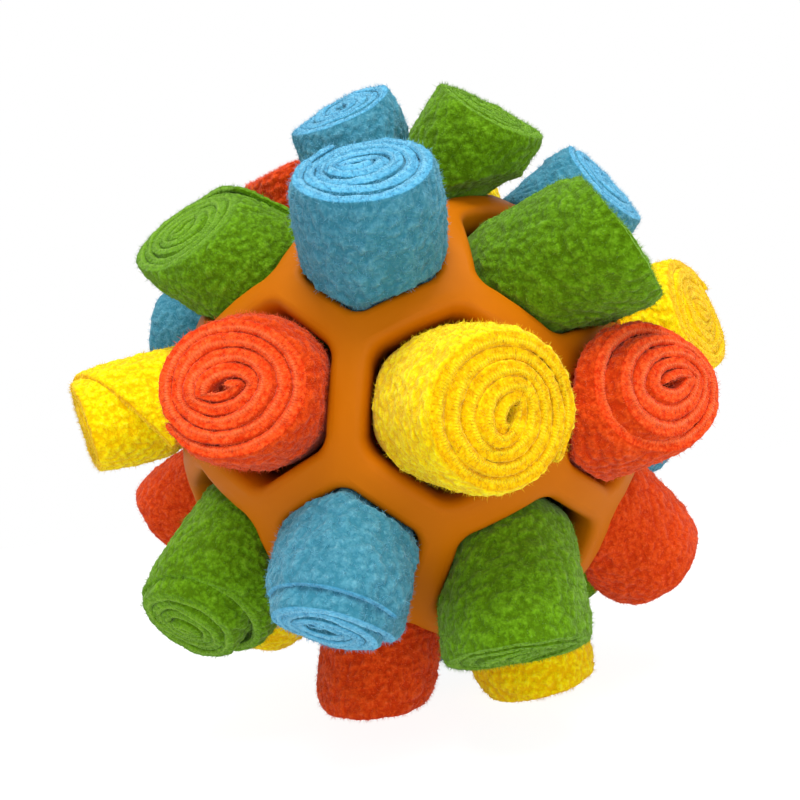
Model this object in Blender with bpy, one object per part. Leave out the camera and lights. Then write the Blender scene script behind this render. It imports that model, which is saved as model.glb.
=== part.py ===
"""Snuffle ball: a moulded rubber lattice ball whose openings hold rolled strips of fleece.

Frame: +Z up, the ball stands on z = 0 on three of its rolls, and its box is centred on the origin.
The side that the photograph shows faces -Y. Lengths are in metres.

The ball is a football cage: an icosahedron with its corners cut off gives 12 pentagons and 20 hexagons,
each of which becomes an opening between broad bars. Every opening is stuffed with one strip of fleece
wound up on itself, except the one on top, which holds two. Each strip is one unbroken spiral, squeezed
to the shape of its opening at the seat and round at its outer end.
"""

import math

import bmesh
import bpy
from mathutils import Matrix, Vector
from mathutils.bvhtree import BVHTree

MM = 0.001

# Rubber ball
BALL_RADIUS = 55 * MM
WALL_DEPTH = 8 * MM
BAR_WIDTH = 7.8 * MM
LIP_RADIUS = 1.9 * MM
LIP_STEPS = 2
OPENING_CORNER_RADIUS = 4.2 * MM
CORNER_STEPS = 2
BAR_CUTS = 1

# How the ball is turned: it stands on one corner of the cage, this far round from the front
PENTAGON_BY_THE_FOOT_DEG = 78

# Fleece rolls
FLEECE_PITCH = 2.5 * MM
LAYER_GAP = 0.64 * MM
SIDES_PER_TURN = 7
HEXAGON_ROLL_RADIUS = 13.7 * MM
PENTAGON_ROLL_RADIUS = 13.1 * MM
ROLL_RADIUS = {6: HEXAGON_ROLL_RADIUS, 5: PENTAGON_ROLL_RADIUS}
CORE_RADIUS = 1.9 * MM
INNER_STICK = 1.5 * MM
CORNER_FILL_SHARE = 1.06
MOST_SEAT_SHARE = 1.2
SEAT_CLEARANCE = 0.35 * MM

# The two rolls that share the top opening
PAIR_ROLL_RADIUS = 12.8 * MM
PAIR_CLEARANCE = 0.4 * MM
PAIR_SEAT_SHARE = 0.44
PAIR_FILL_SHARE = 1.9

# The rolls that the ball stands on are pressed flat by this much
FEET = 3
FLOOR_PRESS = 0.5 * MM

# Halvings in the search for the largest seat that still clears the walls, and the places between two
# sections where the gap between layers is measured
SIZE_STEPS = 24
GAP_SHARES = (0, 0.25, 0.5, 0.75, 1)

RUBBER = ("ochre_rubber", (0.515, 0.156, 0.003), 0.42)
FLEECE = {
    "blue": ("blue_fleece", (0.122, 0.445, 0.631), 0.95),
    "green": ("green_fleece", (0.159, 0.376, 0.019), 0.95),
    "red": ("red_fleece", (0.888, 0.093, 0.023), 0.95),
    "yellow": ("yellow_fleece", (0.930, 0.694, 0.008), 0.95),
}

# A row of the table below holds a roll's colour, where its opening looks (degrees round from the front
# towards +X, then degrees above the level), its size, its stand-off, its lean, the hour that it leans to
# on a clock face seen from outside, how steeply its cut end is turned away from the opening and to which
# hour, how far its core stands out past its outer wrap, and the hour where that wrap ends. Size is a
# share of the usual radius; stand-off, lean, turn and core are shares of the four values here.
FULL_STAND_OFF = 20 * MM
FULL_LEAN = 10 * MM
FULL_TILT_DEG = 40
FULL_CORE_OUT = 4 * MM
ROLL_SHARES = [
    ("blue", -5, 31, 1.00, 0.80, 0.22, 2.8, 0.25, 0.6, 0.15, 11.0),
    ("red", -32, 4, 0.93, 0.55, 0.62, 3.2, 0.82, 2.8, 0.20, 8.0),
    ("yellow", 9, -4, 0.97, 0.71, 0.52, 4.0, 0.35, 3.4, 0.25, 4.4),
    ("green", 38, 27, 1.00, 0.68, 0.73, 5.4, 0.72, 2.8, 0.20, 2.0),
    ("red", 46, -10, 0.98, 0.62, 0.76, 11.5, 0.62, 9.8, 0.40, 4.0),
    ("blue", -19, -31, 1.00, 0.76, 0.32, 5.6, 0.70, 6.6, 0.85, 3.0),
    ("green", 26, -43, 1.00, 0.68, 0.79, 8.3, 0.57, 6.6, 0.30, 5.0),
    ("green", -50, 43, 0.99, 0.62, 0.76, 9.1, 0.28, 2.7, 0.20, 1.0),
    ("blue", 78, 47, 1.00, 0.84, 0.66, 6.5, 0.79, 7.9, 0.20, 12.0),
    ("yellow", 78, 9, 1.00, 0.77, 0.30, 11.7, 0.72, 9.1, 0.25, 2.0),
    ("yellow", -70, 10, 0.90, 0.89, 0.90, 5.6, 0.47, 5.5, 0.15, 4.4),
    ("red", 78, -33, 1.00, 0.55, 1.05, 4.2, 0.80, 4.1, 0.20, 1.0),
    ("red", -40, -66, 0.92, 0.37, 0.13, 4.5, 0.85, 2.2, 0.00, 8.0),
    ("yellow", 78, -70, 1.00, 0.71, 0.26, 5.6, 0.35, 5.6, 0.00, 2.0),
    ("green", -62, -27, 0.96, 0.56, 0.48, 4.9, 0.88, 5.7, 0.80, 10.0),
    ("red", -102, -9, 0.98, 0.77, 0.62, 7.2, 0.42, 6.9, 0.20, 5.0),
    ("blue", -102, 33, 1.00, 0.76, 0.48, 7.2, 0.30, 6.6, 0.20, 11.0),
    ("red", -102, 70, 1.00, 0.80, 0.60, 3.1, 0.50, 3.2, 0.15, 7.0),
    ("yellow", -102, -47, 1.00, 0.80, 0.20, 9.0, 0.25, 9.0, 0.20, 1.0),
    ("green", 130, -43, 1.00, 0.70, 0.30, 8.0, 0.25, 7.0, 0.20, 10.0),
    ("yellow", 140, 66, 1.00, 0.70, 0.40, 6.0, 0.30, 6.0, 0.25, 5.0),
    ("green", -154, 43, 0.97, 0.72, 0.40, 10.0, 0.35, 9.0, 0.20, 8.0),
    ("blue", 161, 31, 1.00, 0.80, 0.30, 5.0, 0.35, 4.0, 0.50, 2.0),
    ("red", 118, 27, 0.98, 0.65, 0.45, 8.0, 0.45, 8.0, 0.20, 6.0),
    ("yellow", -134, 10, 1.00, 0.82, 0.25, 1.0, 0.20, 2.0, 0.20, 9.0),
    ("red", -171, 4, 0.96, 0.68, 0.45, 7.0, 0.50, 7.0, 0.25, 3.0),
    ("yellow", 148, -4, 1.00, 0.70, 0.50, 4.0, 0.30, 3.0, 0.65, 10.0),
    ("blue", 110, -10, 1.00, 0.72, 0.25, 9.0, 0.30, 9.0, 0.20, 5.0),
    ("green", -142, -27, 0.98, 0.70, 0.40, 5.0, 0.60, 5.0, 0.20, 0.0),
    ("blue", 175, -31, 1.00, 0.76, 0.35, 10.0, 0.40, 9.0, 0.30, 7.0),
    ("blue", -164, -66, 0.96, 0.52, 0.20, 9.0, 0.40, 12.0, 0.00, 4.0),
]

# The pair on top: its opening and the hour that the first of the two spreads to. Then, as above, each
# roll's colour, size, stand-off, lean, turn, core and end, of which the lean is a far larger one.
PAIR_OPENING_DEG = (16, 66)
PAIR_HOUR = 4.3
PAIR_SHARES = [
    ("green", 1.00, 0.68, 1.52, 4.4, 0.72, 4.2, 0.20, 1.0),
    ("blue", 1.00, 0.73, 1.55, 10.0, 0.72, 8.4, 0.30, 1.0),
]


def clear_scene():
    for old in list(bpy.data.objects):
        bpy.data.objects.remove(old, do_unlink=True)


def material(name, colour, roughness):
    made = bpy.data.materials.get(name) or bpy.data.materials.new(name)
    made.use_nodes = True
    shader = made.node_tree.nodes["Principled BSDF"]
    shader.inputs["Base Color"].default_value = (*colour, 1.0)
    shader.inputs["Roughness"].default_value = roughness
    shader.inputs["Metallic"].default_value = 0.0
    return made


def add_object(name, bm, finish, collection):
    """Makes the object that holds this mesh, smooth shaded, with its own material slot."""
    mesh = bpy.data.meshes.new(name)
    bm.to_mesh(mesh)
    bm.free()
    mesh.materials.append(material(*finish))
    mesh.shade_smooth()
    made = bpy.data.objects.new(name, mesh)
    collection.objects.link(made)
    return made


def direction(round_deg, up_deg):
    """A unit vector towards a place round from the front and above the level."""
    turn = math.radians(round_deg)
    rise = math.radians(up_deg)
    return Vector((math.sin(turn) * math.cos(rise), -math.cos(turn) * math.cos(rise), math.sin(rise)))


def football(bm):
    """A unit icosahedron with its corners cut off, turned to stand on one corner."""
    bmesh.ops.create_icosphere(bm, subdivisions=1, radius=1)
    tips = [vert.co.copy() for vert in bm.verts]
    bm.edges.ensure_lookup_table()
    side = bm.edges[0].calc_length()
    bmesh.ops.bevel(bm, geom=bm.verts[:], offset=side / 3, offset_type="OFFSET", affect="VERTICES",
                    segments=1, profile=0.5, material=-1, clamp_overlap=False)
    for vert in bm.verts:
        vert.co.normalize()
    bm.verts.ensure_lookup_table()
    foot = bm.verts[0].co.copy()
    pentagon = max(tips, key=foot.dot)
    stand = foot.rotation_difference(Vector((0, 0, -1))).to_matrix()
    lands = stand @ pentagon
    yaw = math.radians(PENTAGON_BY_THE_FOOT_DEG) - math.atan2(lands.x, -lands.y)
    turn = Matrix.Rotation(yaw, 3, "Z") @ stand
    bmesh.ops.transform(bm, matrix=turn.to_4x4(), verts=bm.verts)


def openings():
    """Each opening's outward axis, count of sides and one corner, all on the unit ball."""
    bm = bmesh.new()
    football(bm)
    found = []
    for face in bm.faces:
        centre = face.calc_center_median()
        found.append((centre.normalized(), len(face.verts), centre.length, face.verts[0].co.copy()))
    bm.free()
    return found


def rubber_ball(collection):
    """The cage: rims inset from the football's faces, bulged to the ball, walled towards its centre."""
    bm = bmesh.new()
    football(bm)
    bmesh.ops.scale(bm, vec=(BALL_RADIUS,) * 3, verts=bm.verts)
    panes = bm.faces[:]
    bmesh.ops.inset_individual(bm, faces=panes, thickness=BAR_WIDTH / 2, use_even_offset=True)
    bmesh.ops.delete(bm, geom=panes, context="FACES_ONLY")

    # Each bar is cut across so that it can follow the ball's curve
    spokes = {edge for edge in bm.edges if on_a_corner(edge)}
    bmesh.ops.subdivide_edges(bm, edges=[e for e in bm.edges if e not in spokes],
                              cuts=BAR_CUTS, use_grid_fill=True)
    for vert in bm.verts:
        vert.co = vert.co.normalized() * BALL_RADIUS

    skin = bm.faces[:]
    grown = bmesh.ops.extrude_face_region(bm, geom=skin)["geom"]
    inside = [item for item in grown if isinstance(item, bmesh.types.BMVert)]
    inner_share = (BALL_RADIUS - WALL_DEPTH) / BALL_RADIUS
    bmesh.ops.scale(bm, vec=(inner_share,) * 3, verts=inside)
    bmesh.ops.recalc_face_normals(bm, faces=bm.faces[:])

    corners = [e for e in bm.edges if is_radial(e) and e.calc_face_angle(0) > math.radians(30)]
    bmesh.ops.bevel(bm, geom=corners, offset=OPENING_CORNER_RADIUS * math.tan(math.radians(30)),
                    offset_type="OFFSET", affect="EDGES", segments=CORNER_STEPS, profile=0.5,
                    material=-1, clamp_overlap=False)

    lips = [e for e in bm.edges if is_lip(e)]
    bmesh.ops.bevel(bm, geom=lips, offset=LIP_RADIUS, offset_type="OFFSET", affect="EDGES",
                    segments=LIP_STEPS, profile=0.5, material=-1, clamp_overlap=False)
    return add_object("rubber_lattice_ball", bm, RUBBER, collection)


def on_a_corner(edge):
    """True for the short edges that run from an opening's corner to the cage's corner."""
    return not edge.is_boundary and len({len(v.link_edges) for v in edge.verts}) > 1


def is_radial(edge):
    """True where an edge of a wall points at the ball's centre."""
    first, last = edge.verts
    return first.co.angle(last.co) < math.radians(0.01)


def is_lip(edge):
    """True on the outer rim of an opening, between the skin and a wall."""
    outside = all(v.co.length > BALL_RADIUS - LIP_RADIUS for v in edge.verts)
    return outside and edge.calc_face_angle(0) > math.radians(60)


class Opening:
    """One opening of the cage, in the axes of the roll that it holds: +Z out, +Y as near up as it can."""

    def __init__(self, axis, sides, height_share, corner):
        self.axis = axis
        self.sides = sides
        plane_height = BALL_RADIUS * height_share
        up = Vector((0, 0, 1))
        self.up = (up - axis * axis.dot(up)).normalized()
        self.right = self.up.cross(axis)
        self.corner_angle = math.atan2(corner.dot(self.up), corner.dot(self.right))
        pane_apothem = BALL_RADIUS * math.sin(corner.angle(axis)) * math.cos(math.pi / sides)
        self.slope = (pane_apothem - BAR_WIDTH / 2) / plane_height
        self.wall_bottom = self.height_at(BALL_RADIUS - WALL_DEPTH)
        self.wall_top = self.height_at(BALL_RADIUS - LIP_RADIUS)

    def height_at(self, radius):
        """How high above the ball's centre its walls cross a sphere of this radius."""
        return radius / math.hypot(1, self.slope)

    def walls(self, height, middle):
        """The sides of the opening at a height, each a unit vector across it and the way there from
        middle. The walls run towards the ball's centre."""
        step = 2 * math.pi / self.sides
        found = []
        for k in range(self.sides):
            angle = self.corner_angle + step * (k + 0.5)
            across = Vector((math.cos(angle), math.sin(angle)))
            found.append((across, self.slope * height - SEAT_CLEARANCE - across.dot(middle)))
        return found

    def turn(self):
        return Matrix((self.right, self.up, self.axis)).transposed()


def clock(hour):
    """A direction across the opening by the hour of a clock face seen from outside."""
    angle = math.radians(90 - 30 * hour)
    return Vector((math.cos(angle), math.sin(angle)))


def winding(roll_radius, end_hour, layer_gap):
    """A round section of the strip, wound outwards clockwise as seen from outside: its inner point, its
    outer point and its share of the way from the core to the free end, at each corner. It is shifted so
    that it fills the circle of its radius."""
    step = 2 * math.pi / SIDES_PER_TURN
    corners = round((roll_radius - CORE_RADIUS) / FLEECE_PITCH * SIDES_PER_TURN)
    end = clock(end_hour)
    before_end = Vector((-end.y, end.x))
    shift = (end + before_end) * FLEECE_PITCH / 4
    last_outer = roll_radius + FLEECE_PITCH * 3 / 8
    rows = []
    for k in range(corners + 1):
        left = corners - k
        angle = math.atan2(end.y, end.x) + step * left
        ray = Vector((math.cos(angle), math.sin(angle)))
        outer = last_outer - FLEECE_PITCH * left / SIDES_PER_TURN
        inner = outer - FLEECE_PITCH + layer_gap
        rows.append((ray * inner - shift, ray * outer - shift, k / corners))
    return rows


def reach(ray, walls, fill_share):
    """How far a squeezed roll gets along a ray before a wall, or its own stiffness, stops it."""
    least = min(room for _, room in walls)
    ahead = [room / across.dot(ray) for across, room in walls if across.dot(ray) > 0]
    return min([least * fill_share] + ahead)


def seat_ring(roll_radius, end_hour, walls, fill_share, size_share, middle, height, leant):
    """The strip's section where walls squeeze it: a pair of points, inner and outer, at each corner. The
    layers stand further apart across it the more they lean."""
    least = min(room for _, room in walls) * size_share / roll_radius
    ring = []
    for inner, outer, _ in winding(roll_radius, end_hour, LAYER_GAP / (least * math.cos(leant))):
        pair = []
        for point in (inner, outer):
            grown = size_share * reach(point.normalized(), walls, fill_share) / roll_radius
            flat = point * grown + middle
            pair.append(Vector((flat.x, flat.y, height)))
        ring.append(pair)
    return ring


def end_ring(roll_radius, end_hour, middle, height, core_out, tilt, tilt_hour, leant):
    """The strip's round outer end: turned by tilt to its hour, with its core standing out. The roll's own
    axis is leant that way by an angle, across which the section stays round."""
    tilt_way = clock(tilt_hour)
    squash = math.cos(tilt) / math.cos(tilt - leant)
    ring = []
    for inner, outer, way in winding(roll_radius, end_hour, LAYER_GAP):
        pair = []
        for point in (inner, outer):
            along = point.dot(tilt_way) * squash
            flat = point + tilt_way * (along - point.dot(tilt_way)) + middle
            pair.append(Vector((flat.x, flat.y, height + core_out * (1 - way) - along * math.tan(tilt))))
        ring.append(pair)
    return ring


def loft_strip(rings):
    """Joins the strip's sections into one closed body. The sections are unlike, so this is a grid of
    quads made by hand: the strip's two faces, its two long edges and its two short ends."""
    bm = bmesh.new()
    sheets = [[[bm.verts.new(point) for point in pair] for pair in ring] for ring in rings]
    count = len(rings[0])
    for low, high in zip(sheets, sheets[1:]):
        for k in range(count - 1):
            bm.faces.new((low[k][0], low[k + 1][0], high[k + 1][0], high[k][0]))
            bm.faces.new((low[k + 1][1], low[k][1], high[k][1], high[k + 1][1]))
        for k in (0, count - 1):
            bm.faces.new((low[k][0], high[k][0], high[k][1], low[k][1]))
    for sheet in (sheets[0], sheets[-1]):
        for k in range(count - 1):
            bm.faces.new((sheet[k][0], sheet[k][1], sheet[k + 1][1], sheet[k + 1][0]))
    bmesh.ops.recalc_face_normals(bm, faces=bm.faces[:])
    return bm


def least_gap(rings):
    """The least way between two layers of a roll, from points on the strip's outer face to the inner face
    of the layer round it, and across the hole at the core."""
    count = len(rings[0])
    points = [pair[0] for ring in rings for pair in ring]
    sides = [(row * count + k, row * count + k + 1, row * count + k + 1 + count, row * count + k + count)
             for row in range(len(rings) - 1) for k in range(count - 1)]
    inner_face = BVHTree.FromPolygons(points, sides)
    half_turn = SIDES_PER_TURN // 2
    least = min((ring[k][0] - ring[k + half_turn][0]).length for ring in rings
                for k in range(half_turn + 1))
    for low, high in zip(rings, rings[1:]):
        for k in range(count - SIDES_PER_TURN):
            for share in GAP_SHARES:
                point = low[k][1].lerp(high[k][1], share)
                least = min(least, inner_face.find_nearest(point)[3])
    return least


def clears(rings, opening):
    """True where a loft keeps its clearance from the walls all the way up them."""
    for height in (opening.wall_bottom, opening.wall_top):
        walls = opening.walls(height, Vector((0, 0)))
        for low, high in zip(rings, rings[1:]):
            for (_, below), (_, above) in zip(low, high):
                if below.z <= height <= above.z:
                    point = below.lerp(above, (height - below.z) / (above.z - below.z)).xy
                    if any(across.dot(point) > room for across, room in walls):
                        return False
    return True


def single_roll(opening, end_hour, radius, stand_off, lean, tilt, tilt_hour, core_out):
    """The rings of a strip that has its opening to itself, as large at the seat as the walls let it. It
    leans about the middle of the walls."""
    low = opening.wall_bottom - INNER_STICK
    high = BALL_RADIUS + stand_off
    waist = (opening.wall_bottom + opening.wall_top) / 2
    foot = -lean * (waist - low) / (high - waist)
    walls = opening.walls(low, foot)
    leant = math.atan2((lean - foot).dot(clock(tilt_hour)), high - low)
    outer = end_ring(radius, end_hour, lean, high, core_out, tilt, tilt_hour, leant)
    small_share, large_share = 0.0, MOST_SEAT_SHARE
    for _ in range(SIZE_STEPS):
        size_share = (small_share + large_share) / 2
        rings = [seat_ring(radius, end_hour, walls, CORNER_FILL_SHARE, size_share, foot, low, leant), outer]
        if clears(rings, opening):
            small_share, fitting = size_share, rings
        else:
            large_share = size_share
    return fitting


def paired_roll(opening, side, end_hour, radius, stand_off, lean, tilt, tilt_hour, core_out):
    """The rings of one of two strips that share an opening, parted by a plane square to side."""
    low = opening.wall_bottom - INNER_STICK
    lip = opening.height_at(BALL_RADIUS)
    high = BALL_RADIUS + stand_off
    leant = math.atan2((lean - side * opening.slope * lip * PAIR_SEAT_SHARE).dot(clock(tilt_hour)),
                       high - lip)
    rings = []
    for height, wall_height, leans in ((low, low, 0), (lip, opening.wall_top, leant)):
        middle = side * opening.slope * wall_height * PAIR_SEAT_SHARE
        walls = opening.walls(wall_height, middle)
        walls.append((-side, middle.length - PAIR_CLEARANCE / 2))
        rings.append(seat_ring(radius, end_hour, walls, PAIR_FILL_SHARE, 1, middle, height, leans))
    rings.append(end_ring(radius, end_hour, lean, high, core_out, tilt, tilt_hour, leant))
    return rings


def place_roll(name, colour, opening, rings, collection):
    """Makes the roll's object, with its origin on the axis that it pulls out along, at the lip."""
    lip = Vector((0, 0, opening.height_at(BALL_RADIUS)))
    bm = loft_strip(rings)
    bmesh.ops.translate(bm, vec=-lip, verts=bm.verts)
    roll = add_object(name, bm, FLEECE[colour], collection)
    roll.matrix_world = opening.turn().to_4x4() @ Matrix.Translation(lip)
    return roll


def lowest(roll):
    return min((roll.matrix_world @ vert.co).z for vert in roll.data.vertices)


def press_flat(roll, floor):
    """Cuts off what lies below the floor, as a soft roll is pressed flat there."""
    way = roll.matrix_world.inverted()
    bm = bmesh.new()
    bm.from_mesh(roll.data)
    bmesh.ops.bisect_plane(bm, geom=bm.verts[:] + bm.edges[:] + bm.faces[:],
                           plane_co=way @ Vector((0, 0, floor)),
                           plane_no=way.to_3x3() @ Vector((0, 0, -1)), clear_outer=True)
    rims = [edge for edge in bm.edges if edge.is_boundary]
    bmesh.ops.holes_fill(bm, edges=rims, sides=0)
    bmesh.ops.recalc_face_normals(bm, faces=bm.faces[:])
    bm.to_mesh(roll.data)
    bm.free()


def stand(pieces, floor):
    """Moves the whole part so that it stands on z = 0 with its box centred on the origin."""
    bpy.context.view_layer.update()
    corners = [piece.matrix_world @ vert.co for piece in pieces for vert in piece.data.vertices]
    middle = [(min(c[k] for c in corners) + max(c[k] for c in corners)) / 2 for k in range(2)]
    shift = Vector((-middle[0], -middle[1], -floor))
    for piece in pieces:
        piece.location += shift
    bpy.context.view_layer.update()
    print("ball centre", [round(value / MM, 3) for value in shift])


def main():
    clear_scene()
    collection = bpy.data.collections.new("snuffle_ball")
    bpy.context.scene.collection.children.link(collection)
    ball = rubber_ball(collection)
    found = [Opening(*values) for values in openings()]
    counts = dict.fromkeys(FLEECE, 0)
    rolls = []
    gaps = []

    def add_roll(colour, opening, rings):
        counts[colour] += 1
        name = f"{colour}_fleece_roll_{counts[colour]}"
        rolls.append(place_roll(name, colour, opening, rings, collection))
        gaps.append(least_gap(rings))

    def shaped(size_share, off_share, lean_share, lean_hour, tilt_share, tilt_hour, core_share, usual):
        """A row's shape as lengths and angles, in the order that both kinds of roll take them."""
        return (usual * size_share, FULL_STAND_OFF * off_share, clock(lean_hour) * FULL_LEAN * lean_share,
                math.radians(FULL_TILT_DEG) * tilt_share, tilt_hour, FULL_CORE_OUT * core_share)

    for colour, round_deg, up_deg, *shape, end_hour in ROLL_SHARES:
        opening = max(found, key=lambda one: one.axis.dot(direction(round_deg, up_deg)))
        add_roll(colour, opening,
                 single_roll(opening, end_hour, *shaped(*shape, ROLL_RADIUS[opening.sides])))
    opening = max(found, key=lambda one: one.axis.dot(direction(*PAIR_OPENING_DEG)))
    for side, (colour, *shape, end_hour) in zip((1, -1), PAIR_SHARES):
        add_roll(colour, opening,
                 paired_roll(opening, clock(PAIR_HOUR) * side, end_hour, *shaped(*shape, PAIR_ROLL_RADIUS)))
    print("least gap between two layers of a roll, in mm:", round(min(gaps) / MM, 3))

    bpy.context.view_layer.update()
    feet = sorted(rolls, key=lowest)[:FEET]
    floor = max(lowest(roll) for roll in feet) + FLOOR_PRESS
    for roll in feet:
        press_flat(roll, floor)
    stand([ball] + rolls, floor)


main()
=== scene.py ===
# %% [markdown]
# # A snuffle ball
# A moulded rubber cage with a football's pattern of twelve five-sided and twenty six-sided openings, each
# stuffed with a strip of fleece that is rolled up on itself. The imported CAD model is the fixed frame:
# everything below is made round it, in the same axes and in metres.

# %% Load the frame
import math

import bmesh
import bpy
import numpy as np
from mathutils import Matrix, Vector, noise


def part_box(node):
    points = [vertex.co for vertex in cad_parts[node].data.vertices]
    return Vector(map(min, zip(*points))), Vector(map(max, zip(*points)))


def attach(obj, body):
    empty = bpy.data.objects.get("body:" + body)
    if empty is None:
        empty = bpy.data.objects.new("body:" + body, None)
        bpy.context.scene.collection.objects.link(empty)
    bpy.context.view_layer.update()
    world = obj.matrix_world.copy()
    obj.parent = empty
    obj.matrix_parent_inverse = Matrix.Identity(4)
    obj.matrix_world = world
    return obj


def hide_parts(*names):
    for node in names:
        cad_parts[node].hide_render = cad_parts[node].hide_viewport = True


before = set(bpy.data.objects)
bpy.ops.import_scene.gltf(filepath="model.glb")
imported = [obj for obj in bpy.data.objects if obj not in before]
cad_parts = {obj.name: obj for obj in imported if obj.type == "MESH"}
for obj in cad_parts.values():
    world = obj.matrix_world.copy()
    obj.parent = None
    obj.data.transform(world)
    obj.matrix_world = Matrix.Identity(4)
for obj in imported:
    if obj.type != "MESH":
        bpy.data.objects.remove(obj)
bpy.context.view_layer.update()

MM = 0.001
ball_low, ball_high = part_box("rubber_lattice_ball")
BALL_CENTRE = (ball_low + ball_high) / 2
print("ball centre in mm:", [round(value / MM, 3) for value in BALL_CENTRE])

# %% [markdown]
# ## Camera
# The camera stands close to the ball, a little below its middle, and is rolled a few degrees. Its place
# was worked out from where the cage's bars fall in the photograph, so it is written from the ball's centre.

# %% Camera
CAMERA_FROM_CENTRE = Vector((0.0, -0.18627, -0.01649))
CAMERA_RIGHT = Vector((0.99153, 0.01145, -0.12933))
CAMERA_UP = Vector((0.12984, -0.08742, 0.98767))
camera_data = bpy.data.cameras.new("camera")
camera_data.lens = 34.29
camera_data.shift_x = -0.0165
camera_data.shift_y = 0.0198
camera_data.clip_start = 5 * MM
camera = bpy.data.objects.new("camera", camera_data)
camera_axes = Matrix((CAMERA_RIGHT, CAMERA_UP, CAMERA_RIGHT.cross(CAMERA_UP))).transposed().to_4x4()
camera.matrix_world = Matrix.Translation(BALL_CENTRE + CAMERA_FROM_CENTRE) @ camera_axes
bpy.context.scene.collection.objects.link(camera)
bpy.context.scene.camera = camera
print("camera height in mm:", round(camera.matrix_world.translation.z / MM, 1))

# %% [markdown]
# ## Helpers
# Colours are written as they look on a screen and turned to the linear light that shaders work in. One
# helper adds a node with its settings, its values and its links.

# %% Helpers
def linear(code):
    """A colour such as #C06A10 as linear red, green, blue and an alpha of 1."""
    parts = [int(code[k:k + 2], 16) / 255 for k in (1, 3, 5)]
    return [v / 12.92 if v <= 0.04045 else ((v + 0.055) / 1.055) ** 2.4 for v in parts] + [1.0]


def add(tree, kind, inputs=None, **settings):
    """Adds a node; an input is given a value, or the socket that feeds it."""
    made = tree.nodes.new(kind)
    for name, value in settings.items():
        setattr(made, name, value)
    for name, value in (inputs or {}).items():
        if isinstance(value, bpy.types.NodeSocket):
            tree.links.new(value, made.inputs[name])
        else:
            made.inputs[name].default_value = value
    return made


def new_material(name):
    """A material with an empty node tree, and that tree."""
    made = bpy.data.materials.new(name)
    made.use_nodes = True
    made.node_tree.nodes.clear()
    return made, made.node_tree


def new_piece(name, mesh, finish):
    """An object for a finished mesh, at the origin, with its material."""
    mesh.materials.clear()
    mesh.materials.append(finish)
    made = bpy.data.objects.new(name, mesh)
    bpy.context.scene.collection.objects.link(made)
    return made


print("a mid grey in linear light:", round(linear("#808080")[0], 3))

# %% [markdown]
# ## Rubber
# The cage is natural rubber, coloured ochre in the mass and moulded in a blasted steel tool. That gives a
# faintly cloudy colour, a satin skin with a very fine, soft grain, and a broad and weak highlight.

# %% Rubber material
CLOUD_MM = 14.0
RUBBER_GRAIN_MM = 0.35
RUBBER_GRAIN_DEPTH = 0.05 * MM
rubber, tree = new_material("ochre_moulded_rubber")
place = add(tree, "ShaderNodeTexCoord").outputs["Object"]
cloudy = add(tree, "ShaderNodeTexNoise", {"Vector": place, "Scale": 1 / (CLOUD_MM * MM), "Detail": 3.0,
                                          "Roughness": 0.55})
grain = add(tree, "ShaderNodeTexNoise", {"Vector": place, "Scale": 1 / (RUBBER_GRAIN_MM * MM),
                                         "Detail": 2.0})
tone = add(tree, "ShaderNodeMix", {0: cloudy.outputs["Fac"], 6: linear("#B46000"), 7: linear("#C46C02")},
           data_type="RGBA")
bump = add(tree, "ShaderNodeBump", {"Height": grain.outputs["Fac"], "Strength": 0.25,
                                    "Distance": RUBBER_GRAIN_DEPTH})
shader = add(tree, "ShaderNodeBsdfPrincipled", {"Base Color": tone.outputs[2], "Roughness": 0.5,
                                                "Specular IOR Level": 0.07, "Normal": bump.outputs["Normal"]})
add(tree, "ShaderNodeOutputMaterial", {"Surface": shader.outputs["BSDF"]})
print(rubber.name, "has a grain of", RUBBER_GRAIN_MM, "mm")

# %% [markdown]
# ## The football's pattern
# Cutting the corners off an icosahedron leaves twelve pentagons and twenty hexagons, all with sides of one
# length. Blender has the icosahedron as an icosphere of one subdivision, and a vertex bevel cuts its
# corners. The ball stands on one corner of this pattern, as three rolls round it are its feet.

# %% Football
PENTAGON_BY_THE_FOOT_DEG = 78


def football(bm):
    """A unit icosahedron with its corners cut off, turned to stand on one corner."""
    bmesh.ops.create_icosphere(bm, subdivisions=1, radius=1)
    tips = [vert.co.copy() for vert in bm.verts]
    bm.edges.ensure_lookup_table()
    side = bm.edges[0].calc_length()
    bmesh.ops.bevel(bm, geom=bm.verts[:], offset=side / 3, offset_type="OFFSET", affect="VERTICES",
                    segments=1, profile=0.5, material=-1, clamp_overlap=False)
    for vert in bm.verts:
        vert.co.normalize()
    bm.verts.ensure_lookup_table()
    foot = bm.verts[0].co.copy()
    pentagon = max(tips, key=foot.dot)
    stand = foot.rotation_difference(Vector((0, 0, -1))).to_matrix()
    lands = stand @ pentagon
    yaw = math.radians(PENTAGON_BY_THE_FOOT_DEG) - math.atan2(lands.x, -lands.y)
    turn = Matrix.Rotation(yaw, 3, "Z") @ stand
    bmesh.ops.transform(bm, matrix=turn.to_4x4(), verts=bm.verts)


bm = bmesh.new()
football(bm)
print("football:", len(bm.faces), "faces and", len(bm.verts), "corners")
bm.free()

# %% [markdown]
# ## Cage
# Each face is inset to leave a rim, the panes are deleted, the rims are pushed out to the sphere and given
# walls towards the centre. Two bevels then round the openings' corners and the bars' lips, as the tool
# does. The steps are the CAD's own, with more cuts, so the bars keep their places and lose their facets.

# %% Cage
BALL_RADIUS = 55 * MM
WALL_DEPTH = 8 * MM
BAR_WIDTH = 7.8 * MM
LIP_RADIUS = 1.9 * MM
OPENING_CORNER_RADIUS = 4.2 * MM


def on_a_corner(edge):
    """True for the short edges that run from an opening's corner to the cage's corner."""
    return not edge.is_boundary and len({len(v.link_edges) for v in edge.verts}) > 1


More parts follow.
